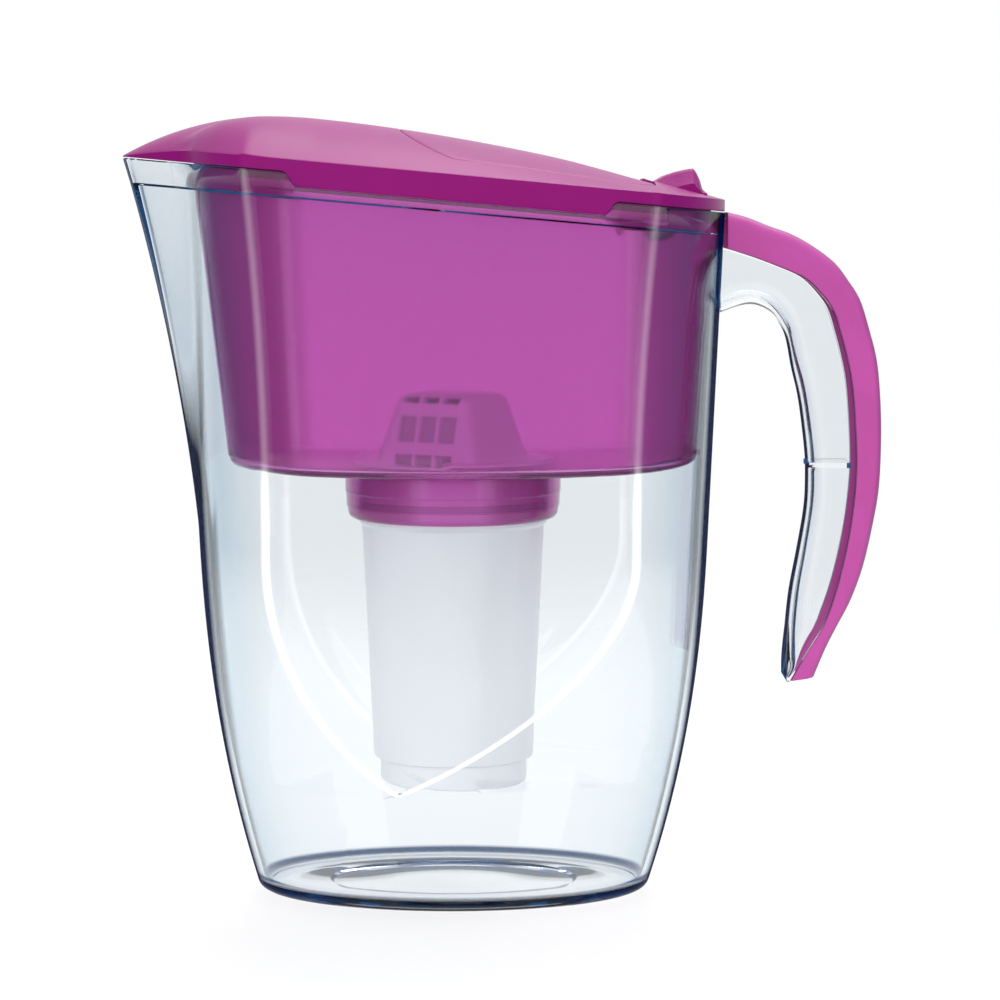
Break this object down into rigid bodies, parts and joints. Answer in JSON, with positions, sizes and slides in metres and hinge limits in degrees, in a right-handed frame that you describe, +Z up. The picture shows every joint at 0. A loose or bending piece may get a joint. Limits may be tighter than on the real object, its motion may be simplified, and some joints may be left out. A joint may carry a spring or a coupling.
{
  "type": "water filter pitcher",
  "caption": "Slim clear jug with a V spout and side handle, a hopper holding a tapered filter cartridge, and a sloping lid with a flip door opened by a thumb lever.",
  "frame": {"origin": "centre of the jug's flat underside", "axes": "+Z up, -X towards the spout, +X towards the handle"},
  "size_m": [0.257, 0.104, 0.2634],
  "materials": {
    "clear_jug": "clear, glossy, faintly blue",
    "magenta": "glossy magenta",
    "tinted_hopper": "translucent magenta, glossy",
    "white_plastic": "satin white",
    "seal": "soft grey",
    "mesh": "fine grey screen",
    "felt": "white felt",
    "media": "dark granular bed"
  },
  "bodies": {
    "jug": {"jug_body": "clear_jug", "handle_cover": "magenta"},
    "hopper": {"funnel": "tinted_hopper"},
    "cartridge": {"cartridge_shell": "white_plastic", "cartridge_hood": "white_plastic", "cartridge_cap": "white_plastic", "seal_ring": "seal", "inlet_screen": "mesh", "upper_felt": "felt", "filter_media": "media", "lower_felt": "felt"},
    "lid": {"lid_shell": "magenta"},
    "door": {"flip_door": "magenta"}
  },
  "joints": [
    {"name": "hopper_lift", "type": "slide", "parent": "jug", "child": "hopper", "axis": [0, 0, 1], "range_m": [0, 0.222]},
    {"name": "cartridge_lift", "type": "slide", "parent": "hopper", "child": "cartridge", "axis": [0, 0, 1], "range_m": [0, 0.06]},
    {"name": "lid_lift", "type": "slide", "parent": "hopper", "child": "lid", "axis": [0, 0, 1], "range_m": [0, 0.05]},
    {"name": "door_hinge", "type": "hinge", "parent": "lid", "child": "door", "pos_m": [0.076, 0, 0.23818], "axis": [0, 1, 0], "range_deg": [0, 80]}
  ]
}
